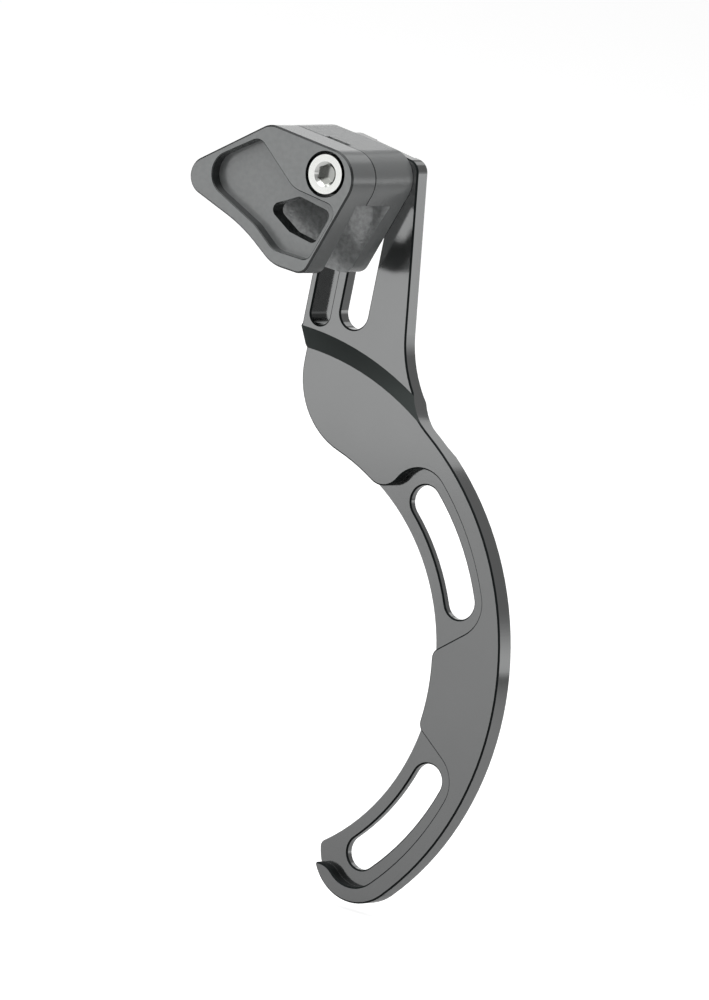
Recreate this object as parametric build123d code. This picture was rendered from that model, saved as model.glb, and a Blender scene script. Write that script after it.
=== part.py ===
# Upper chain guide for a bicycle: a crescent bracket with a mast, and a two-piece cage for the chain.
# Lengths are millimetres, angles are degrees. The plate lies in X-Z, its front faces -Y, and +Z runs along
# the slots of the mast. The plan below is drawn about the crank axis; export_node moves the origin to the
# rear mounting face, on the circle of the fixing slots.
import os
from math import acos, cos, degrees, hypot, radians, sin, sqrt, tan

from build123d import *

# Crescent, about the crank axis: the circle of its fixing slots, and the rims on both sides of it
slot_circle_radius = 52.75
outer_rim = 11.25
inner_rim = 6.0
ledge_overhang = 0.55
plate_thickness = 4.9
fixing_slot_width = 7.4
middle_angle = 1.3
slot_near_angle = 21.8
slot_far_angle = 46.9
ledge_width = 3.6
pocket_depth = 2.8
pocket_shoulder_angle = 37.0
pad_corner_radius = 2.5
nose_radius = 5.0
lip_nose_offset = 2.25
lip_radius = 0.5
tip_middle_angle = 46.0
end_corner_radius = 1.5
edge_chamfer = 0.35

# Shoulder pad, its heights measured from the crescent's outer edge
lobe_radius = 17.45
lobe_angle = 74.6
pad_top_left_rise = 0.95
pad_top_middle_rise = 0.6
shoulder_rise = 0.8
shoulder_height = 3.8
rear_relief = 1.0
relief_run = 4.0
relief_outer_angle = 51.1
relief_inner_angle = 84.4

# Mast, its widths measured from the bolt slot and its heights from the crescent's outer edge
mast_thickness = 4.1
mast_left_reach = 12.5
mast_right_reach = 14.2
mast_right_rise = 7.5
mast_right_lean = 8.4
mast_top_left_rise = 48.3
mast_top_slope = 8.0
mast_corner_radius = 3.0
bend_radius = 27.0
ramp_width_left = 4.4
ramp_width_middle = 3.0
ramp_width_right = 1.75
ramp_left_angle = 100.0
ramp_middle_angle = 79.0
ramp_right_angle = 55.5
ramp_run_in = 0.1
rear_ramp_shift = -1.2
rear_ramp_run_out = 0.3

# Slots of the mast
bolt_slot_x = 8.0
bolt_slot_width = 7.0
bolt_slot_rise = 6.8
nut_seat_depth = 1.0
nut_seat_width = 10.6
key_slot_spacing = 8.4
key_slot_width = 4.9
key_slot_rise = 5.7
key_slot_floor = 0.8

# Cage, its outline drawn from the screw's axis
bolt_rise = 40.9
cage_depth = 21.9
outer_half_depth = 9.0
slide_gap = 0.1
nose_point = (-38.7, -8.8)
apex_point = (-16.2, 7.3)
bolt_corner_point = (9.9, 4.8)
foot_point = (-0.5, -22.3)
heel_point = (-9.0, -21.95)
waist_point = (-18.3, -15.8)
nose_round = 4.2
apex_round = 5.0
bolt_corner_round = 6.5
foot_round = 3.0
heel_round = 9.0
waist_round = 36.0
face_pocket_points = [(-33.5, -6.4), (-18.0, 3.8), (-7.3, -4.8), (4.7, -6.3), (-0.2, -19.0),
                      (-9.35, -18.7), (-15.0, -14.6)]
face_pocket_rounds = [4.8, 2.5, 7.0, 2.2, 2.2, 4.0, 8.0]
face_pocket_depth = 2.8
window_points = [(-14.8, -10.4), (-7.0, -6.5), (1.9, -8.0), (-1.0, -15.7), (-7.8, -14.5)]
window_round = 1.6
cage_edge = 0.4
parting_edge = 0.2
rear_step_out = 0.9
rear_rise = 0.45

# Chain channel through the cage, its roof and mouths measured from the screw's axis
channel_roof_drop = 5.5
channel_offset = 0.6
channel_width = 9.8
channel_mouth_width = 13.0
mouth_length = 9.0
mouth_right_reach = 7.0
mouth_left_reach = 34.0

# Moulded walls inside the cage
wall = 2.2
seam_slit_length = 6.0
seam_slit_width = 1.6
seam_slit_offset = 4.6

# Clamp: socket head screw, sleeve and slot nut
screw_diameter = 5.0
head_diameter = 8.5
head_height = 5.0
counterbore_diameter = 10.0
socket_width = 4.0
socket_depth = 2.6
socket_mouth_diameter = 5.5
sleeve_diameter = 7.0
running_clearance = 0.1
nut_barrel_length = 10.0
nut_flange_length = 13.0
nut_flange_thickness = 1.8
key_length = 15.5

# Heights across the plate, from the rear mounting face at y = 0
pad_front = -plate_thickness
floor_y = pad_front + pocket_depth
mast_front = floor_y
mast_rear = mast_front + mast_thickness
lobe_rear = -rear_relief
cage_rear = mast_front - slide_gap
cage_front = cage_rear - cage_depth
parting_y = cage_front + outer_half_depth
head_seat_y = cage_front + head_height
nut_seat_y = mast_rear - nut_seat_depth + slide_gap
nut_rear = nut_seat_y + nut_flange_thickness
channel_y = (cage_front + cage_rear) / 2 + channel_offset
beyond = 6.0

# Places in the plan
outer_radius = slot_circle_radius + outer_rim
inner_radius = slot_circle_radius - inner_rim
ledge_inner_radius = inner_radius - ledge_overhang
lip_nose_orbit = slot_circle_radius + lip_nose_offset
shoulder_z = outer_radius + shoulder_rise
mast_left_x = bolt_slot_x - mast_left_reach
mast_right_x = bolt_slot_x + mast_right_reach
mast_right_z = outer_radius + mast_right_rise
mast_top_left_z = outer_radius + mast_top_left_rise
bolt_z = outer_radius + bolt_rise
slot_bottom_z = outer_radius + bolt_slot_rise
key_slot_x = bolt_slot_x - key_slot_spacing
key_slot_bottom_z = outer_radius + key_slot_rise
channel_roof_z = bolt_z - channel_roof_drop
mouth_right_x = bolt_slot_x + mouth_right_reach
mouth_left_x = bolt_slot_x - mouth_left_reach


def polar(radius, angle):
    return (radius * cos(radians(angle)), radius * sin(radians(angle)))


def prism(face, rear, front):
    # A flat plan, drawn as (x, z), made solid between two heights
    return extrude(Plane.XZ.offset(-rear) * face, amount=rear - front)


def countersunk(face, rear, front, chamfer_size):
    # A cut that is open to the front, with a small chamfer round its mouth
    mouth = extrude(Plane.XZ.offset(-front - chamfer_size) * face, amount=2 * chamfer_size, taper=-45)
    return prism(face, rear, front - beyond) + mouth


def rims(solid, height):
    return solid.edges().filter_by_position(Axis.Y, height - 0.01, height + 0.01)


def tapered(rear_face, rear, front_face, front):
    return loft([Plane.XZ.offset(-rear) * rear_face, Plane.XZ.offset(-front) * front_face])


def closed_face(*edges):
    return make_face(Curve() + list(edges))


def polygon(*points):
    return make_face(Polyline(*points, close=True))


def rounded(points, radii):
    return make_face(FilletPolyline(*points, radius=radii, close=True))


def arc_about(centre, radius, start, end):
    return CenterArc(centre, radius, start, end - start)


def bearing(centre, point):
    # Direction from one plan point to another, in degrees
    run = point[0] - centre[0]
    rise = point[1] - centre[1]
    angle = degrees(acos(run / hypot(run, rise)))
    return angle if rise >= 0 else -angle


def straight_slot(x, width, bottom, top):
    centre = (x, (bottom + top) / 2)
    return Pos(*centre) * SlotOverall(top - bottom, width, rotation=90)


# Plan of the bracket

mast_up = (-sin(radians(mast_right_lean)), cos(radians(mast_right_lean)))
mast_out = (cos(radians(mast_right_lean)), sin(radians(mast_right_lean)))


def along_mast(distance):
    return (mast_right_x + distance * mast_up[0], mast_right_z + distance * mast_up[1])


def bend_centre():
    # The concave bend touches the mast's right edge and the outer circle
    start = (mast_right_x + bend_radius * mast_out[0], mast_right_z + bend_radius * mast_out[1])
    along = start[0] * mast_up[0] + start[1] * mast_up[1]
    reach = (outer_radius + bend_radius) ** 2 - start[0] ** 2 - start[1] ** 2
    distance = -along + sqrt(along ** 2 + reach)
    return (start[0] + distance * mast_up[0], start[1] + distance * mast_up[1])


def slot_end(angle_from_middle):
    return polar(slot_circle_radius, middle_angle + angle_from_middle)


def angle_between(side_a, side_b, opposite):
    return degrees(acos((side_a ** 2 + side_b ** 2 - opposite ** 2) / (2 * side_a * side_b)))


def bracket_plan(inner):
    # inner is the radius of the inner edge, which the shoulder pad's round edge runs into
    tip_centre = slot_end(-tip_middle_angle)
    tip_radius = outer_radius - slot_circle_radius
    tip_angle = middle_angle - tip_middle_angle
    inner_tip = polar(inner, tip_angle - angle_between(inner, slot_circle_radius, tip_radius))
    bend = bend_centre()
    bend_foot_angle = bearing((0, 0), bend)
    bend_top = (bend[0] - bend_radius * mast_out[0], bend[1] - bend_radius * mast_out[1])
    top_slope = tan(radians(mast_top_slope))
    rise = (mast_top_left_z - (mast_right_x - mast_left_x) * top_slope - mast_right_z)
    top_right = along_mast(rise / (mast_up[1] + mast_up[0] * top_slope))
    lobe = polar(inner_radius + lobe_radius, lobe_angle)
    lobe_edge = inner_radius + lobe_radius - inner
    lobe_left = (lobe[0] - lobe_edge, lobe[1])
    shoulder = (lobe_left[0], shoulder_z)
    plan = closed_face(
        arc_about((0, 0), outer_radius, tip_angle, bend_foot_angle),
        arc_about(bend, bend_radius, 180 + bend_foot_angle, 180 + mast_right_lean),
        Line(bend_top, top_right),
        Line(top_right, (mast_left_x, mast_top_left_z)),
        Line((mast_left_x, mast_top_left_z), (mast_left_x, shoulder[1] + shoulder_height)),
        Line((mast_left_x, shoulder[1] + shoulder_height), shoulder),
        Line(shoulder, lobe_left),
        arc_about(lobe, lobe_edge, 180, 180 + lobe_angle),
        arc_about((0, 0), inner, bearing((0, 0), inner_tip), lobe_angle),
        arc_about(tip_centre, tip_radius, 360 + tip_angle, 360 + bearing(tip_centre, inner_tip)),
    )
    top = plan.vertices().group_by(Axis.Y)[-2:]
    plan = fillet([vertex for group in top for vertex in group], mast_corner_radius)
    inner_corner = plan.vertices().sort_by_distance((*inner_tip, 0))[0]
    return fillet(inner_corner, end_corner_radius)


# Recessed floors round the two fixing slots

def fixing_slot(side):
    half_width = fixing_slot_width / 2
    near, far = sorted((middle_angle + side * slot_near_angle, middle_angle + side * slot_far_angle))
    band = ring_sector(slot_circle_radius - half_width, slot_circle_radius + half_width, near, far)
    ends = [Pos(*polar(slot_circle_radius, angle)) * Circle(half_width) for angle in (near, far)]
    return band + ends


def ring_sector(inner, outer, start, end):
    return closed_face(
        arc_about((0, 0), outer, start, end),
        Line(polar(outer, end), polar(inner, end)),
        arc_about((0, 0), inner, start, end),
        Line(polar(inner, start), polar(outer, start)),
    )


def nose_angle(side, nose_orbit):
    # Direction of the nose that touches the round end of a pocket
    reach = fixing_slot_width / 2 + ledge_width + nose_radius
    far = middle_angle + side * slot_far_angle
    return far + side * angle_between(slot_circle_radius, nose_orbit, reach)


def pocket_plan(side, nose_orbit):
    # A ledge of even width follows the slot. Towards the middle pad a straight shoulder closes the pocket,
    # and at the far end a round nose of the pad turns back to the inner edge
    ledge_radius = fixing_slot_width / 2 + ledge_width
    void_radius = ledge_inner_radius - beyond
    near, far = (middle_angle + side * angle for angle in (slot_near_angle, slot_far_angle))
    near_end = polar(slot_circle_radius, near)
    far_end = polar(slot_circle_radius, far)
    band = ring_sector(void_radius, slot_circle_radius + ledge_radius, *sorted((near, far)))
    rounds = [Pos(*end) * Circle(ledge_radius) for end in (near_end, far_end)]

    slope = middle_angle + side * pocket_shoulder_angle
    inward = (-cos(radians(slope)), -sin(radians(slope)))
    touch = (near_end[0] + side * ledge_radius * sin(radians(slope)),
             near_end[1] - side * ledge_radius * cos(radians(slope)))
    run = slot_circle_radius - void_radius
    shoulder = polygon(near_end, touch, (touch[0] + run * inward[0], touch[1] + run * inward[1]),
                       polar(void_radius, near))

    nose = nose_angle(side, nose_orbit)
    nose_centre = polar(nose_orbit, nose)
    hook = polygon(far_end, nose_centre, polar(void_radius, nose), polar(void_radius, far))
    return band + rounds + shoulder + hook - Pos(*nose_centre) * Circle(nose_radius)


# Ramps between the shoulder pad and the mast

def ramp_line(width_scale, shift, run_out):
    # The foot of the ramp runs out at the crescent's outer edge, and its top lies one width further out
    left = outer_radius + pad_top_left_rise + width_scale * ramp_width_left + shift
    middle = outer_radius + pad_top_middle_rise + width_scale * ramp_width_middle + shift
    right = outer_radius + width_scale * ramp_width_right + run_out
    return polar(left, ramp_left_angle), polar(middle, ramp_middle_angle), polar(right, ramp_right_angle)


def region_beyond_ramp(width_scale, far_z, shift, run_out):
    left, middle, right = ramp_line(width_scale, shift, run_out)
    far_x = outer_radius + beyond
    return closed_face(
        ThreePointArc(left, middle, right),
        Line(right, (far_x, right[1])),
        Line((far_x, right[1]), (far_x, far_z)),
        Line((far_x, far_z), (-far_x, far_z)),
        Line((-far_x, far_z), (-far_x, left[1])),
        Line((-far_x, left[1]), left),
    )


def mast_recess():
    top_z = mast_top_left_z + beyond
    return tapered(region_beyond_ramp(1, top_z, 0, -ramp_run_in), mast_front,
                   region_beyond_ramp(0, top_z, 0, -ramp_run_in), pad_front)


def rear_waste():
    # What lies behind the crescent and the shoulder pad, up to the ramp of the mast's rear face
    low_z = -outer_radius - beyond
    slab = tapered(region_beyond_ramp(1, low_z, rear_ramp_shift, rear_ramp_run_out), mast_rear,
                   region_beyond_ramp(0, low_z, rear_ramp_shift, rear_ramp_run_out), lobe_rear)
    behind_crescent = slab & prism(Rectangle(4 * outer_radius, 4 * outer_radius), mast_rear + beyond, 0)
    outer_end = polar(outer_radius + beyond, relief_outer_angle)
    inner_end = polar(inner_radius - beyond, relief_inner_angle)
    run = relief_run * (mast_rear - lobe_rear) / rear_relief
    low_edge = [outer_end, inner_end]
    high_edge = [(point[0], point[1] - run) for point in low_edge]
    corner = (inner_end[0] - 2 * outer_radius, outer_end[1] + outer_radius)
    corners = [(corner[0], inner_end[1]), corner, (outer_end[0], corner[1])]
    relief = tapered(polygon(*high_edge, *corners), mast_rear, polygon(*low_edge, *corners), lobe_rear)
    return behind_crescent + (slab & relief)


def pads_plan():
    # All at full thickness: the middle pad, the outer rim, the shoulder pad and the lip at the tip
    plan = bracket_plan(inner_radius)
    plan -= pocket_plan(1, inner_radius + nose_radius)
    plan -= pocket_plan(-1, lip_nose_orbit)
    middle_reach = inner_radius * sin(radians(slot_near_angle))
    inner = plan.vertices().filter_by(lambda point: abs(hypot(point.X, point.Y) - inner_radius) < 0.01)
    plan = fillet(inner.filter_by(lambda point: abs(point.Y) < middle_reach), pad_corner_radius)
    low = plan.vertices().filter_by(lambda point: point.Y < -middle_reach)
    return fillet(low.sort_by(Axis.X)[0], lip_radius)


def thin_ledge():
    # The floor of the pockets reaches a little further in than the pads
    upper_end = nose_angle(1, inner_radius + nose_radius)
    ring = ring_sector(ledge_inner_radius - beyond, slot_circle_radius, upper_end - 180, upper_end)
    return prism(bracket_plan(ledge_inner_radius) & ring, 0, floor_y)


def mast_rims(arm):
    # The outline of the mast's front face, from the shoulder over the top and down to the bend
    outline = rims(arm, mast_front).filter_by(lambda edge: edge.position_at(0.5).Z > shoulder_z)
    return outline.filter_by(lambda edge: edge.vertices().sort_by(Axis.Z)[-1].Z > mast_right_z
                             or edge.position_at(0.5).X > mast_right_x)


def guide_arm():
    pads = prism(pads_plan(), floor_y, pad_front)
    arm = prism(bracket_plan(inner_radius), mast_rear, floor_y) + thin_ledge()
    arm += chamfer(rims(pads, pad_front), edge_chamfer)
    arm -= rear_waste()
    arm -= mast_recess()
    arm = chamfer(mast_rims(arm), edge_chamfer)
    arm = chamfer(rims(arm, mast_rear), edge_chamfer)
    for side in (1, -1):
        arm -= countersunk(fixing_slot(side), beyond, floor_y, edge_chamfer)
    arm = chamfer(rims(arm, 0), edge_chamfer)
    bolt_slot = straight_slot(bolt_slot_x, bolt_slot_width, slot_bottom_z, bolt_z + bolt_slot_width / 2)
    arm -= countersunk(bolt_slot, mast_rear + beyond, mast_front, edge_chamfer)
    seat_bottom_z = slot_bottom_z - (nut_seat_width - bolt_slot_width) / 2
    nut_seat = straight_slot(bolt_slot_x, nut_seat_width, seat_bottom_z, mast_top_left_z + beyond)
    arm -= prism(nut_seat, mast_rear + beyond, mast_rear - nut_seat_depth)
    key_slot = straight_slot(key_slot_x, key_slot_width, key_slot_bottom_z, bolt_z + key_slot_width / 2)
    return arm - countersunk(key_slot, mast_rear - key_slot_floor, mast_front, edge_chamfer)


# Cage

cage_rounds = [nose_round, apex_round, bolt_corner_round, foot_round, heel_round, waist_round]


def from_screw(points):
    return [(bolt_slot_x + x, bolt_z + z) for x, z in points]


cage_corners = from_screw([nose_point, apex_point, bolt_corner_point, foot_point, heel_point, waist_point])


def cage_plan():
    return rounded(cage_corners, cage_rounds)


def chain_channel():
    half, mouth = channel_width / 2, channel_mouth_width / 2
    near_right, near_left = mouth_right_x - mouth_length, mouth_left_x + mouth_length
    edges = []
    for sign in (1, -1):
        right = TangentArc((near_right, sign * half), (mouth_right_x, sign * mouth), tangent=(1, 0))
        left = TangentArc((near_left, sign * half), (mouth_left_x, sign * mouth), tangent=(-1, 0))
        edges += [right, left, Line((near_left, sign * half), (near_right, sign * half)),
                  Line((mouth_right_x, sign * mouth), (mouth_right_x + beyond, sign * mouth)),
                  Line((mouth_left_x, sign * mouth), (mouth_left_x - beyond, sign * mouth))]
    for x in (mouth_right_x + beyond, mouth_left_x - beyond):
        edges.append(Line((x, -mouth), (x, mouth)))
    plan = closed_face(*edges)
    depth = beyond - channel_roof_drop - foot_point[1]
    return extrude(Pos(0, channel_y, channel_roof_z) * plan, amount=-depth)


def face_pocket_plan():
    return rounded(from_screw(face_pocket_points), face_pocket_rounds)


def window_plan():
    return rounded(from_screw(window_points), [window_round] * len(window_points))


def cross_hole(diameter, rear, front):
    return prism(Pos(bolt_slot_x, bolt_z) * Circle(diameter / 2), rear, front)


def core_plan():
    # Hollow above the channel's roof, inside an even wall and clear of the boss for the screw
    shell = offset(cage_plan(), -wall)
    above = Pos(0, channel_roof_z + wall + outer_radius) * Rectangle(4 * outer_radius, 2 * outer_radius)
    boss = Pos(bolt_slot_x, bolt_z) * Circle(sleeve_diameter / 2 + wall)
    beside = Pos(bolt_slot_x + outer_radius, bolt_z) * Rectangle(2 * outer_radius, 2 * outer_radius)
    return shell & above - boss - beside


def seam_slit():
    top = max(point[1] for point in cage_corners)
    slit = Pos(bolt_slot_x - seam_slit_offset, top) * Rectangle(seam_slit_length, 3 * wall)
    return prism(slit, parting_y + seam_slit_width, parting_y)


def outer_cage_half():
    half = prism(cage_plan(), parting_y, cage_front)
    half = chamfer(rims(half, cage_front), cage_edge)
    half = chamfer(rims(half, parting_y), parting_edge)
    half -= chain_channel()
    pocket_floor = cage_front + face_pocket_depth
    half -= countersunk(face_pocket_plan(), pocket_floor, cage_front, cage_edge / 2)
    half -= prism(window_plan(), channel_y, cage_front - beyond)
    half -= prism(core_plan(), parting_y + beyond, pocket_floor + wall)
    half -= cross_hole(counterbore_diameter, head_seat_y, cage_front - beyond)
    half -= cross_hole(sleeve_diameter + running_clearance, parting_y + beyond, cage_front)
    return half


def inner_cage_half():
    # The outline grows outwards and up towards the mast
    half = tapered(Pos(rear_step_out, rear_rise) * cage_plan(), cage_rear, cage_plan(), parting_y)
    half = chamfer(rims(half, parting_y), parting_edge)
    half -= chain_channel()
    half -= prism(core_plan(), cage_rear - wall, parting_y - beyond)
    half -= seam_slit()
    half -= cross_hole(sleeve_diameter + running_clearance, cage_rear + beyond, parting_y - beyond)
    key_width = key_slot_width - 2 * running_clearance
    key = straight_slot(key_slot_x, key_width, bolt_z - key_length, bolt_z)
    key_rear = mast_rear - key_slot_floor - 5 * running_clearance
    return half + prism(key, key_rear, cage_rear)


# Clamp hardware

def clamp_screw():
    screw = cross_hole(head_diameter, head_seat_y, cage_front)
    screw += cross_hole(screw_diameter, nut_rear, head_seat_y)
    socket = Pos(bolt_slot_x, bolt_z) * RegularPolygon(socket_width / 2, 6, major_radius=False)
    screw -= prism(socket, cage_front + socket_depth, cage_front - beyond)
    mouth = Plane(origin=(bolt_slot_x, cage_front, bolt_z), z_dir=(0, 1, 0))
    depth = (socket_mouth_diameter - socket_width) / 2
    on_face = (Align.CENTER, Align.CENTER, Align.MIN)
    return screw - mouth * Cone(socket_mouth_diameter / 2, socket_width / 2, depth, align=on_face)


def clamp_sleeve():
    bore = cross_hole(screw_diameter + 2 * running_clearance, cage_rear + beyond, head_seat_y - beyond)
    return cross_hole(sleeve_diameter, cage_rear, head_seat_y) - bore


def slot_nut():
    barrel_width = bolt_slot_width - 2 * running_clearance
    half_barrel = nut_barrel_length / 2
    barrel_top = bolt_z + barrel_width / 2
    barrel = straight_slot(bolt_slot_x, barrel_width, barrel_top - nut_barrel_length, barrel_top)
    flange_width = nut_seat_width - 6 * running_clearance
    flange_top = bolt_z + flange_width / 2
    flange = straight_slot(bolt_slot_x, flange_width, flange_top - nut_flange_length, flange_top)
    nut = prism(barrel, nut_seat_y, mast_front + slide_gap) + prism(flange, nut_rear, nut_seat_y)
    return nut - cross_hole(screw_diameter + running_clearance, nut_rear + beyond, mast_front - beyond)


def export_node(name, solid):
    export_step(Pos(-slot_circle_radius, 0, 0) * solid, f"parts/{name}.step")


os.makedirs("parts", exist_ok=True)
export_node("guide_arm", guide_arm())
export_node("outer_cage_half", outer_cage_half())
export_node("inner_cage_half", inner_cage_half())
export_node("clamp_screw", clamp_screw())
export_node("clamp_sleeve", clamp_sleeve())
export_node("slot_nut", slot_nut())
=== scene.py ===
"""Bicycle chain guide: a milled aluminium arm with a clamped plastic cage at its top."""

import math

import bpy
from mathutils import Matrix, Vector


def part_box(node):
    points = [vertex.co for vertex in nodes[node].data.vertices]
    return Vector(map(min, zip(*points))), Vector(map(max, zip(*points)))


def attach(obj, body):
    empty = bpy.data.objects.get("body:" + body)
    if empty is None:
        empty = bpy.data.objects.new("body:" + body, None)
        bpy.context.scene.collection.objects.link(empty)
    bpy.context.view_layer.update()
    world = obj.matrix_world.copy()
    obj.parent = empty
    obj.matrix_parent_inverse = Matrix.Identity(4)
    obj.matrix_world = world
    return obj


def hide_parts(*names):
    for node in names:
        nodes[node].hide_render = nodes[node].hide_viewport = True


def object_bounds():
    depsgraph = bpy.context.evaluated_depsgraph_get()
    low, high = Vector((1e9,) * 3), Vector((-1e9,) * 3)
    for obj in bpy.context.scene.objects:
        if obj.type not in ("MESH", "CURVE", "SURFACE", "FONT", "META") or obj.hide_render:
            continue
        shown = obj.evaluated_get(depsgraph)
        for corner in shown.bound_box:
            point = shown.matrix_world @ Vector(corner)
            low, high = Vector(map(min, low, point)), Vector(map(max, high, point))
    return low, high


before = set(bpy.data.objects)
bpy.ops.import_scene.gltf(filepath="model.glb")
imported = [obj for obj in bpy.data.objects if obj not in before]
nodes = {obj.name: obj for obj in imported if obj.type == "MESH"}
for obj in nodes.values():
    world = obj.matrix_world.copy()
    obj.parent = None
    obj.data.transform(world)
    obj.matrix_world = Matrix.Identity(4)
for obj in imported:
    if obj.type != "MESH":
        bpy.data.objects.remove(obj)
cad_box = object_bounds()

MM = 0.001

# The crank's axis, seen from the rear face's own origin
CRANK_X = -52.75 * MM

# Reaches from that axis: the pockets lie between the first two, the ramp past the third
POCKET_INNER_REACH = 47.2 * MM
POCKET_OUTER_REACH = 61.6 * MM
CRESCENT_REACH = 64.0 * MM

# Heights of the arm's pocket floors, of the cage's parting line and of the screw's rim, which
# is just behind the front face of its head and where the screw's painted shade begins
POCKET_FLOOR_Y = -2.1 * MM
PARTING_Y = -15.1 * MM
HEAD_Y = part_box("clamp_screw")[0].y + 0.2 * MM

# The painted shade on the cage front half's edges and pocket walls, and the dark joint of its
# parting line, end here, past the chamfers of the parting line
DARK_EDGE_Y = PARTING_Y + 0.35 * MM

# The mottle of the channel's wall leaves out the cage's rear face, which lies behind this
MOTTLE_Y = -2.6 * MM

# The cage's outline, drawn clockwise from its nose as (x, z), and the width of its rim
CAGE_CORNERS = [
    (x * MM + CRANK_X, z * MM)
    for x, z in [
        (-30.7, 96.1), (-8.2, 112.2), (12.0, 110.3), (15.9, 104.5), (7.5, 82.6), (-1.0, 82.95)
    ]
]
CAGE_RIM = 1.2 * MM


# Materials

# How far the masks take to fade: at the arm's pocket floors and in its plan, and at the cage's
# edges and in its mottle
FLOOR_FADE = 0.05 * MM
PLAN_FADE = 0.2 * MM
EDGE_FADE = 0.1 * MM
MOTTLE_FADE = 0.4 * MM

# Bands of flatness, which is 1 on a face in the plate's plane and 0 on an upright one
NEARLY_FLAT = (0.93, 0.985)
NEARLY_UPRIGHT = (0.30, 0.12)
CHAMFERED = ((0.30, 0.36), (0.98, 0.94))
WALL = (0.90, 0.80)
FLOOR = (0.80, 0.90)

# The band of a noise's values that spreads it into clear patches
MIDDLE_OF_CLOUD = (0.35, 0.65)

# Widths of one grain of each pattern. The dye's cloud is a guess. The others are drawn coarser
# than real, because finer ones wouldn't show.
DYE_CLOUD = MM / 0.06
BLASTED_GRIT = MM / 2.6
CUTTER_MARK = MM / 2
MOULD_MOTTLE = MM / 0.9
MOULD_GRAIN = MM / 1.3
TURNING_MARK = MM / 1.5

# The cutter marks are drawn out along Y by squeezing the place that they are read at
CUTTER_SQUEEZE = (1.0, 0.03, 1.0)

# Roughness of the arm's flats and sides, and of its slopes and pocket walls, which are drawn
# dull so that they stay dark from every side
SATIN = 0.12
DULL = 0.65

# Nylon isn't metallic, but its smooth skin in the photograph mirrors like dull metal in part
CAGE_LUSTRE = 0.3
CAGE_ROUGHNESS = 0.22


def linear(hex_colour):
    """An sRGB hex colour as linear red, green, blue and alpha."""
    parts = [int(hex_colour[i : i + 2], 16) / 255 for i in (1, 3, 5)]
    low = [c / 12.92 for c in parts]
    high = [((c + 0.055) / 1.055) ** 2.4 for c in parts]
    return [h if c > 0.04045 else s for c, s, h in zip(parts, low, high)] + [1.0]


def add(material, kind, links=None, values=None, **settings):
    """Adds a shader node with its settings, its fixed values and what is linked into it."""
    tree = material.node_tree
    made = tree.nodes.new("ShaderNode" + kind)
    for name, value in settings.items():
        setattr(made, name, value)
    for socket, value in (values or {}).items():
        made.inputs[socket].default_value = value
    for socket, source in (links or {}).items():
        tree.links.new(source, made.inputs[socket])
    return made


def blank(name):
    """A material with only its output."""
    material = bpy.data.materials.new(name)
    material.use_nodes = True
    material.node_tree.nodes.clear()
    return material, add(material, "OutputMaterial")


def finish_surface(material, output, shader):
    """Joins a shader to the surface of a material or of the world."""
    material.node_tree.links.new(shader.outputs[0], output.inputs["Surface"])


def flatness(material):
    """How squarely a face lies in the plate's plane: 1 on flats, 0 on upright walls."""
    normal = add(material, "NewGeometry").outputs["Normal"]
    across = add(material, "SeparateXYZ", {"Vector": normal}).outputs["Y"]
    return add(material, "Math", {0: across}, operation="ABSOLUTE").outputs[0]


def soft_mask(material, *bands):
    """A mask from bands of (value, start, end).

    It is 1 where every value is past its band's end and 0 where one hasn't reached its band's
    start, and it fades between them. The band from 1 to 0 turns another mask round.
    """
    mask = None
    for value, start, end in bands:
        limits = {"From Min": start, "From Max": end}
        past = add(material, "MapRange", {"Value": value}, limits).outputs["Result"]
        if mask is None:
            mask = past
        else:
            mask = add(material, "Math", {0: mask, 1: past}, operation="MULTIPLY").outputs[0]
    return mask


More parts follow.
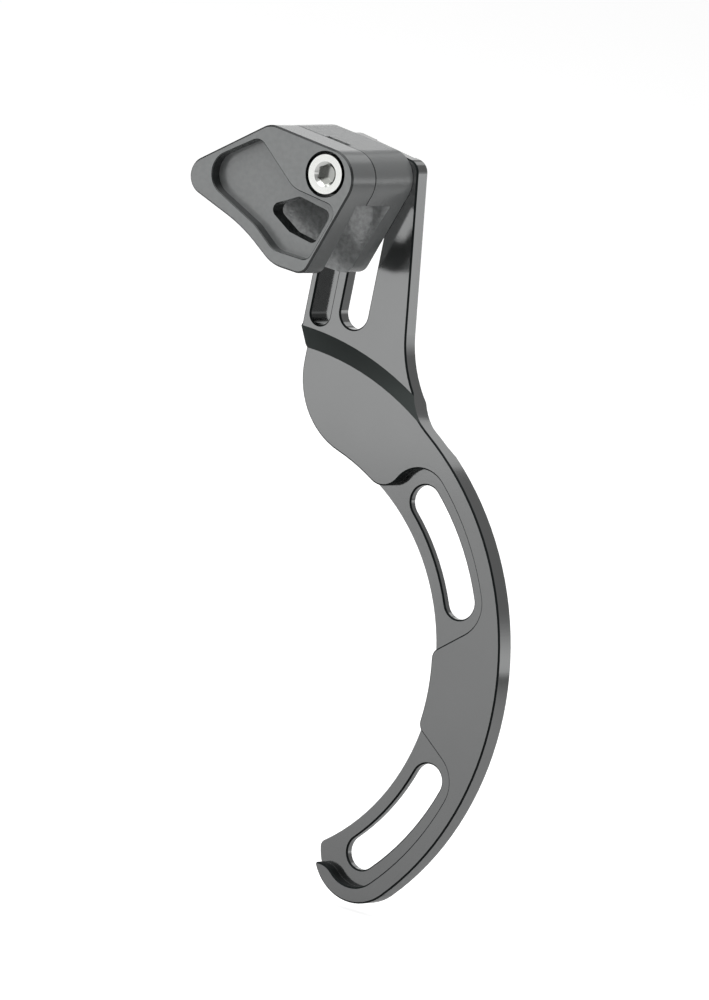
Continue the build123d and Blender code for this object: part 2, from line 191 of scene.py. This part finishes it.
def anodised_arm():
    """Aluminium 6061, milled, finely blasted and anodised a neutral dark grey.

    The eye gets an even satin grey on the flats, bright enough to mirror what stands close
    by, faint cutter marks across the sides, painted shade near black on the slopes and pocket
    walls, and painted shade a little less dark on the ramp. The grit is drawn at 0.4 mm and the
    cutter marks at 0.5 mm.
    """
    material, output = blank("anodised_aluminium_satin_grey")
    place = add(material, "TexCoord").outputs["Object"]
    height = add(material, "SeparateXYZ", {"Vector": place}).outputs["Y"]
    in_plan = add(
        material, "VectorMath", {0: place}, {1: (1.0, 0.0, 1.0)}, operation="MULTIPLY"
    ).outputs[0]
    from_crank = add(
        material, "VectorMath", {0: in_plan}, {1: (CRANK_X, 0.0, 0.0)}, operation="DISTANCE"
    ).outputs["Value"]
    facing = flatness(material)

    pocket = soft_mask(
        material,
        (height, POCKET_FLOOR_Y, POCKET_FLOOR_Y - FLOOR_FADE),
        (from_crank, POCKET_OUTER_REACH, POCKET_OUTER_REACH - PLAN_FADE),
        (from_crank, POCKET_INNER_REACH, POCKET_INNER_REACH + PLAN_FADE),
    )
    ramp = soft_mask(
        material,
        (height, POCKET_FLOOR_Y + FLOOR_FADE, POCKET_FLOOR_Y - FLOOR_FADE),
        (from_crank, CRESCENT_REACH, CRESCENT_REACH + PLAN_FADE),
    )
    flat = soft_mask(material, (facing, *NEARLY_FLAT))
    side = soft_mask(material, (facing, *NEARLY_UPRIGHT), (pocket, 1.0, 0.0))
    slope = soft_mask(material, (flat, 1.0, 0.0), (side, 1.0, 0.0))

    cloud = add(material, "TexNoise", {"Vector": place}, {"Scale": 1 / DYE_CLOUD, "Detail": 3.0})
    satin_tone = add(
        material,
        "MixRGB",
        {0: cloud.outputs["Fac"]},
        {1: linear("#8c8d8d"), 2: linear("#929393")},
    )
    # Painted shade: near black on the slopes, chamfers and pocket walls, a little less dark on the
    # ramp
    painted_shade_tone = add(
        material, "MixRGB", {0: ramp}, {1: linear("#232727"), 2: linear("#434746")}
    )
    tone = add(
        material, "MixRGB", {0: slope, 1: satin_tone.outputs[0], 2: painted_shade_tone.outputs[0]}
    )
    gloss = add(material, "MapRange", {"Value": slope}, {"To Min": SATIN, "To Max": DULL})

    grit = add(
        material, "TexNoise", {"Vector": place}, {"Scale": 1 / BLASTED_GRIT, "Detail": 2.0}
    )
    along_cutter = add(
        material, "VectorMath", {0: place}, {1: CUTTER_SQUEEZE}, operation="MULTIPLY"
    ).outputs[0]
    milled = add(
        material, "TexNoise", {"Vector": along_cutter}, {"Scale": 1 / CUTTER_MARK, "Detail": 2.0}
    )
    relief = add(
        material, "MixRGB", {0: side, 1: grit.outputs["Fac"], 2: milled.outputs["Fac"]}
    )
    blasted = add(
        material, "Bump", {"Height": relief.outputs[0]}, {"Strength": 0.08, "Distance": 0.04 * MM}
    )
    skin = add(
        material,
        "BsdfPrincipled",
        {
            "Base Color": tone.outputs[0],
            "Roughness": gloss.outputs["Result"],
            "Normal": blasted.outputs[0],
        },
        {"Metallic": 1.0},
    )
    finish_surface(material, output, skin)
    return material


def inside_outline(material, place, corners, margin):
    """1 where a point of the plan lies further in than a margin from every side of an outline."""
    bands = []
    for (x, z), (next_x, next_z) in zip(corners, corners[1:] + corners[:1]):
        run, rise = next_x - x, next_z - z
        length = math.hypot(run, rise)
        inward = (rise / length, 0.0, -run / length)
        along = add(material, "VectorMath", {0: place}, {1: inward}, operation="DOT_PRODUCT")
        start = x * inward[0] + z * inward[2] + margin
        bands.append((along.outputs["Value"], start, start + EDGE_FADE))
    return soft_mask(material, *bands)


def moulded_cage(name, tones, grain_depth):
    """Glass-filled nylon, moulded in a tool with a spark-eroded grain.

    The eye gets a charcoal skin, its grain finer or coarser by the half, mottled on the
    channel's wall, near black painted shade along the front half's edges and on the walls of
    its pocket, and a dark joint along the parting line. The grain is drawn from 0.8 mm down and
    the mottle from 1.1 mm down.
    """
    material, output = blank(name)
    place = add(material, "TexCoord").outputs["Object"]
    height = add(material, "SeparateXYZ", {"Vector": place}).outputs["Y"]
    facing = flatness(material)

    chamfers = soft_mask(material, *((facing, *band) for band in CHAMFERED))
    inside = inside_outline(material, place, CAGE_CORNERS, CAGE_RIM)
    pocket_walls = soft_mask(material, (facing, *WALL), (inside, 0.0, 1.0))
    edges = add(material, "Math", {0: chamfers, 1: pocket_walls}, operation="MAXIMUM").outputs[0]
    painted_shade_and_joint = soft_mask(
        material, (edges, 0.0, 1.0), (height, DARK_EDGE_Y, DARK_EDGE_Y - EDGE_FADE)
    )
    cloud = add(
        material, "TexNoise", {"Vector": place}, {"Scale": 1 / MOULD_MOTTLE, "Detail": 3.0}
    )
    mottle = soft_mask(
        material,
        (cloud.outputs["Fac"], *MIDDLE_OF_CLOUD),
        (facing, *FLOOR),
        (height, MOTTLE_Y, MOTTLE_Y - MOTTLE_FADE),
    )

    skin_tone = add(
        material, "MixRGB", {0: mottle}, {1: linear(tones[0]), 2: linear(tones[1])}
    )
    # Painted shade near black on the front half's edge chamfers and pocket walls, together with
    # the parting line's dark joint
    tone = add(
        material, "MixRGB", {0: painted_shade_and_joint, 1: skin_tone.outputs[0]}, {2: linear("#202424")}
    )
    grain = add(
        material, "TexNoise", {"Vector": place}, {"Scale": 1 / MOULD_GRAIN, "Detail": 4.0}
    )
    bumps = add(
        material,
        "Bump",
        {"Height": grain.outputs["Fac"]},
        {"Strength": 0.6, "Distance": grain_depth},
    )
    skin = add(
        material,
        "BsdfPrincipled",
        {"Base Color": tone.outputs[0], "Normal": bumps.outputs[0]},
        {"Roughness": CAGE_ROUGHNESS, "Specular IOR Level": 1.0, "Metallic": CAGE_LUSTRE},
    )
    finish_surface(material, output, skin)
    return material


def turned_metal(name, tones, roughness, rim):
    """Plated, bare or anodised metal, turned on a lathe.

    The eye gets a metal that mirrors its surroundings, with fine marks drawn at 0.7 mm. It has
    its first tone in front of a rim at so far along Y, and its second tone behind it.
    """
    material, output = blank(name)
    place = add(material, "TexCoord").outputs["Object"]
    height = add(material, "SeparateXYZ", {"Vector": place}).outputs["Y"]
    behind_rim = soft_mask(material, (height, rim, rim + 1.0 * MM))
    tone = add(
        material, "MixRGB", {0: behind_rim}, {1: linear(tones[0]), 2: linear(tones[1])}
    )
    marks = add(
        material, "TexNoise", {"Vector": place}, {"Scale": 1 / TURNING_MARK, "Detail": 2.0}
    )
    turned = add(
        material,
        "Bump",
        {"Height": marks.outputs["Fac"]},
        {"Strength": 0.1, "Distance": 0.05 * MM},
    )
    skin = add(
        material,
        "BsdfPrincipled",
        {"Normal": turned.outputs[0], "Base Color": tone.outputs[0]},
        {"Metallic": 1.0, "Roughness": roughness},
    )
    finish_surface(material, output, skin)
    return material


# The clamp screw

# An M5 socket head screw
HEAD_HEIGHT = 5.0 * MM
HEAD_SIDES = 120
KNURL_MARGIN = 0.02 * MM
KNURL_DEPTH = 0.12 * MM
RIM_WIDTH = 0.3 * MM
SOCKET_SIDES = 6
SOCKET_RADIUS = 2.31 * MM
SOCKET_DEPTH = 2.6 * MM
MOUTH_SIDES = 60
MOUTH_RADIUS = 2.75 * MM
MOUTH_FLOOR_RADIUS = 2.05 * MM
MOUTH_DEPTH = 0.6 * MM
SHANK_SIDES = 48
SHANK_RADIUS = 2.5 * MM
SHANK_BEVEL = 0.5 * MM
SMOOTH_ANGLE = math.radians(30)

# The cutters start this far in front of the head, and the shank this far inside it, so that
# no faces coincide
SOCKET_START = 1.0 * MM
MOUTH_START = 0.01 * MM
SHANK_START = 0.5 * MM


def alone(objects):
    """Selects only these objects, the last one active."""
    bpy.ops.object.select_all(action="DESELECT")
    for one in objects:
        one.select_set(True)
    bpy.context.view_layer.objects.active = objects[-1]


def bar(name, sides, radius, front, rear, middle, rear_radius=None):
    """A bar along Y of so many sides, or a cone where a rear radius is given."""
    depth = rear - front
    place = (middle.x, (front + rear) / 2, middle.z)
    turned = (math.radians(90), 0, 0)
    if rear_radius is None:
        bpy.ops.mesh.primitive_cylinder_add(
            vertices=sides, radius=radius, depth=depth, location=place, rotation=turned
        )
    else:
        bpy.ops.mesh.primitive_cone_add(
            vertices=sides,
            radius1=rear_radius,
            radius2=radius,
            depth=depth,
            location=place,
            rotation=turned,
        )
    made = bpy.context.object
    made.name = name
    bpy.ops.object.transform_apply(location=True, rotation=True, scale=True)
    return made


def pick_faces(piece, wanted):
    """Selects the faces of a piece that a test wants, and stays in edit mode."""
    alone([piece])
    bpy.ops.object.mode_set(mode="EDIT")
    bpy.ops.mesh.select_mode(type="FACE")
    bpy.ops.mesh.select_all(action="DESELECT")
    bpy.ops.object.mode_set(mode="OBJECT")
    for face in piece.data.polygons:
        face.select = wanted(face)
    bpy.ops.object.mode_set(mode="EDIT")


def cut(piece, cutter):
    """Cuts one solid out of another and removes the cutter."""
    alone([piece])
    made = piece.modifiers.new("cut", "BOOLEAN")
    made.operation = "DIFFERENCE"
    made.object = cutter
    bpy.ops.object.modifier_apply(modifier=made.name)
    bpy.data.objects.remove(cutter)


def socket_screw(finish):
    """A socket head screw: a knurled head with a rim, a hexagonal socket and a plain shank."""
    low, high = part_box("clamp_screw")
    middle = (low + high) / 2
    front, seat = low.y, low.y + HEAD_HEIGHT

    head = bar("screw_head", HEAD_SIDES, (high.x - low.x) / 2, front, seat, middle)
    pick_faces(head, lambda face: abs(face.normal.y) < 0.5 and face.index % 2 == 0)
    bpy.ops.mesh.inset(thickness=KNURL_MARGIN, depth=-KNURL_DEPTH, use_individual=True)
    bpy.ops.object.mode_set(mode="OBJECT")
    pick_faces(head, lambda face: face.normal.y < -0.9)
    bpy.ops.mesh.inset(thickness=RIM_WIDTH)
    bpy.ops.object.mode_set(mode="OBJECT")

    socket = bar(
        "socket",
        SOCKET_SIDES,
        SOCKET_RADIUS,
        front - SOCKET_START,
        front + SOCKET_DEPTH,
        middle,
    )
    cut(head, socket)
    mouth = bar(
        "socket_mouth",
        MOUTH_SIDES,
        MOUTH_RADIUS,
        front - MOUTH_START,
        front + MOUTH_DEPTH,
        middle,
        rear_radius=MOUTH_FLOOR_RADIUS,
    )
    cut(head, mouth)

    shank = bar("screw_shank", SHANK_SIDES, SHANK_RADIUS, seat - SHANK_START, high.y, middle)
    pick_faces(shank, lambda face: face.normal.y > 0.9)
    bpy.ops.mesh.bevel(offset=SHANK_BEVEL, segments=2, affect="EDGES")
    bpy.ops.object.mode_set(mode="OBJECT")

    alone([shank, head])
    bpy.ops.object.join()
    screw = bpy.context.object
    screw.name = "clamp_screw_detailed"
    alone([screw])
    bpy.ops.object.shade_smooth_by_angle(angle=SMOOTH_ANGLE)
    screw.data.materials.clear()
    screw.data.materials.append(finish)
    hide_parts("clamp_screw")
    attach(screw, "cage")


# The finished pieces


def dress(node, material):
    """Gives a node of the frame one material all over."""
    mesh = nodes[node].data
    mesh.materials.clear()
    mesh.materials.append(material)


dress("guide_arm", anodised_arm())
dress(
    "outer_cage_half",
    moulded_cage(
        "glass_filled_nylon_fine_grain", ("#7c7e7e", "#818383"), grain_depth=0.02 * MM
    ),
)
dress(
    "inner_cage_half",
    moulded_cage(
        "glass_filled_nylon_coarse_grain", ("#808282", "#989a9a"), grain_depth=0.1 * MM
    ),
)
# The screw's second tone, from just behind the front of its head back, is painted shade in its
# socket and down its head and shank
socket_screw(
    turned_metal("zinc_plated_steel_screw", ("#f0f1ee", "#b0b1ae"), roughness=0.18, rim=HEAD_Y)
)
dress(
    "clamp_sleeve",
    turned_metal("bare_aluminium_sleeve", ("#a8a9a8", "#a0a1a0"), roughness=0.35, rim=PARTING_Y),
)
dress(
    "slot_nut",
    turned_metal("anodised_aluminium_nut", ("#4a4a4b", "#434444"), roughness=0.4, rim=0.0),
)


# Studio

FLOOR_WIDTH = 6.0
FLOOR_GAP = 2.0 * MM
FLOOR_GLOW = 0.78

# What the world sheds: the walls up to one rise of the view, the ceiling from another
WALL_LIGHT = 0.66
WALL_TOP = 0.03
CEILING_LIGHT = 0.2
CEILING_EDGE = 0.22

# The photograph's camera, in degrees, metres and its lens and sensor in millimetres
CAMERA_AZIMUTH = 33.38
CAMERA_ELEVATION = 1.24
GUIDE_LEAN = 13.5
CAMERA_DISTANCE = 3.0
CAMERA_RIGHT = 19.95 * MM
CAMERA_UP = 30.01 * MM
CAMERA_LENS = 501.12
CAMERA_SENSOR = 36.0


def studio_floor():
    """A wide pale floor under the arm's tip. The camera sees it as white where no shadow falls."""
    bpy.ops.mesh.primitive_plane_add(
        size=FLOOR_WIDTH, location=(0, 0, cad_box[0].z - FLOOR_GAP)
    )
    floor = bpy.context.object
    floor.name = "floor"
    material, output = blank("pale_floor")
    paint = add(material, "BsdfDiffuse", values={"Color": linear("#d4d4d4")})
    seen = add(material, "LightPath").outputs["Is Camera Ray"]
    glow = add(
        material, "Emission", {"Strength": seen}, {"Color": [FLOOR_GLOW] * 3 + [1.0]}
    )
    both = add(material, "AddShader", {0: paint.outputs[0], 1: glow.outputs[0]})
    finish_surface(material, output, both)
    floor.data.materials.append(material)


def studio_world():
    """Pale walls low round the room, a dim ceiling, and white where the camera looks past.

    Glossy rays find the walls white, and the ceiling brighter by the same share.
    """
    world = bpy.data.worlds.new("studio")
    bpy.context.scene.world = world
    world.use_nodes = True
    world.node_tree.nodes.clear()
    output = add(world, "OutputWorld")
    direction = add(world, "TexCoord").outputs["Generated"]
    rise = add(world, "SeparateXYZ", {"Vector": direction}).outputs["Z"]
    room = add(
        world,
        "MapRange",
        {"Value": rise},
        {
            "From Min": WALL_TOP,
            "From Max": CEILING_EDGE,
            "To Min": WALL_LIGHT,
            "To Max": CEILING_LIGHT,
        },
        interpolation_type="SMOOTHSTEP",
    )
    rays = add(world, "LightPath").outputs
    mirrored = add(
        world,
        "MapRange",
        {"Value": rays["Is Glossy Ray"]},
        {"To Min": 1.0, "To Max": 1.0 / WALL_LIGHT},
    )
    shown = add(
        world,
        "Math",
        {0: room.outputs["Result"], 1: mirrored.outputs["Result"]},
        operation="MULTIPLY",
    ).outputs[0]
    past = add(
        world,
        "Math",
        {0: rays["Is Camera Ray"], 1: rays["Is Transmission Ray"]},
        operation="MAXIMUM",
    ).outputs[0]
    strength = add(world, "Math", {0: shown, 1: past}, operation="MAXIMUM").outputs[0]
    sky = add(world, "Background", {"Strength": strength}, {"Color": [1, 1, 1, 1]})
    finish_surface(world, output, sky)


def softbox(name, place, aim_z, size, watts):
    """A square area lamp at a place, turned to a height above the part's origin."""
    lamp = bpy.data.lights.new(name, "AREA")
    lamp.size = size
    lamp.energy = watts
    held = bpy.data.objects.new(name, lamp)
    bpy.context.collection.objects.link(held)
    held.location = place
    held.visible_camera = False
    aim = Vector((0, 0, aim_z)) - Vector(place)
    held.rotation_euler = aim.to_track_quat("-Z", "Y").to_euler()


def photo_camera():
    """The photograph's camera: nearly level, far away, and tilted so that the guide leans."""
    azimuth = math.radians(CAMERA_AZIMUTH)
    elevation = math.radians(CAMERA_ELEVATION)
    back = Vector(
        (
            math.sin(azimuth) * math.cos(elevation),
            -math.cos(azimuth) * math.cos(elevation),
            math.sin(elevation),
        )
    )
    right = Vector((math.cos(azimuth), math.sin(azimuth), 0))
    up = back.cross(right)
    place = back * CAMERA_DISTANCE + right * CAMERA_RIGHT + up * CAMERA_UP
    upright = Matrix.Rotation(math.radians(-GUIDE_LEAN), 3, "Y")
    right, up, back, place = (upright @ v for v in (right, up, back, place))
    place.x += CRANK_X
    data = bpy.data.cameras.new("camera")
    data.sensor_width = CAMERA_SENSOR
    data.lens = CAMERA_LENS
    data.clip_start = 0.1
    data.clip_end = 20.0
    camera = bpy.data.objects.new("camera", data)
    bpy.context.collection.objects.link(camera)
    turned = Matrix((right, up, back)).transposed().to_4x4()
    camera.matrix_world = Matrix.Translation(place) @ turned
    bpy.context.scene.camera = camera


studio_floor()
studio_world()
softbox("key", place=(-0.6, -0.9, 0.8), aim_z=0.02, size=1.4, watts=8.5)
softbox("top", place=(0.1, 0.0, 1.1), aim_z=0.05, size=1.3, watts=8)
softbox("low_front", place=(-0.27, -0.42, 0.2), aim_z=0.05, size=0.5, watts=0.32)
softbox("back_high", place=(-0.12, 0.85, 0.55), aim_z=0.05, size=0.35, watts=0.22)
softbox("back_low", place=(-0.5, 0.85, 0.32), aim_z=0.05, size=0.3, watts=0.18)
softbox("right", place=(1.0, 0.0, 0.35), aim_z=0.05, size=0.9, watts=0.6)
photo_camera()
bpy.context.scene.view_settings.view_transform = "Standard"
